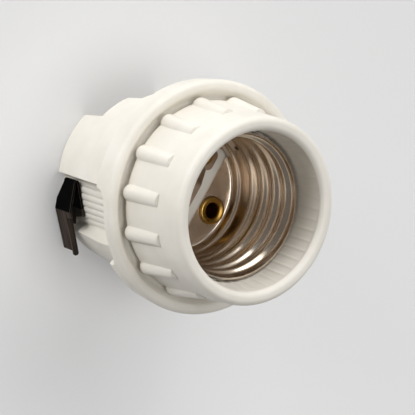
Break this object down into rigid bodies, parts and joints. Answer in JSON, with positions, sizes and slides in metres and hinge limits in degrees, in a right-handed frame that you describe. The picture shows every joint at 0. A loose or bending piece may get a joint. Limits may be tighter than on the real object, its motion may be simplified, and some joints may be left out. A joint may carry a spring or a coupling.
{
  "type": "porcelain lamp socket",
  "caption": "Two-piece porcelain lamp socket with a flanged body, a ribbed threaded ring, a rolled screw shell, a sprung centre contact and side spring clips.",
  "frame": {"origin": "middle of the plane of the four rear feet", "axes": "+Z along the lamp axis, out of the mouth; the side notches with the clips face -X and +X, the terminal recesses face -Y and +Y"},
  "size_m": [0.0444, 0.0444, 0.0431],
  "materials": {
    "porcelain": "unglazed, fine matte, with tiny specks",
    "plated_shell": "bright nickel plate",
    "brass": "aged brass",
    "contact_bronze": "dull spring bronze",
    "plated_screw": "zinc plated",
    "black_spring_steel": "blackened"
  },
  "bodies": {
    "socket": {"body": "porcelain", "screw_shell": "plated_shell", "shell_eyelets": "brass", "contact_rivet": "brass", "contact_terminal": "brass", "shell_terminal": "brass", "clip_left": "black_spring_steel", "clip_right": "black_spring_steel", "clip_rivets": "black_spring_steel"},
    "ring": {"ring": "porcelain"},
    "contact": {"centre_contact": "contact_bronze"},
    "contact_screw": {"contact_terminal_screw": "plated_screw"},
    "shell_screw": {"shell_terminal_screw": "plated_screw"}
  },
  "joints": [
    {"name": "ring_turn", "type": "hinge", "parent": "socket", "child": "ring", "pos_m": [0, 0, 0.031], "axis": [0, 0, 1], "range_deg": [0, 360]},
    {"name": "contact_press", "type": "hinge", "parent": "socket", "child": "contact", "pos_m": [0.00566, 0.00566, 0.0183], "axis": [0.7071, -0.7071, 0], "range_deg": [0, 3], "stiffness_Nm_per_rad": 0.1},
    {"name": "contact_screw_turn", "type": "hinge", "parent": "socket", "child": "contact_screw", "pos_m": [0, 0.012, 0.005], "axis": [0, 0, -1], "range_deg": [0, 630]},
    {"name": "shell_screw_turn", "type": "hinge", "parent": "socket", "child": "shell_screw", "pos_m": [0, -0.012, 0.005], "axis": [0, 0, -1], "range_deg": [0, 630]}
  ]
}
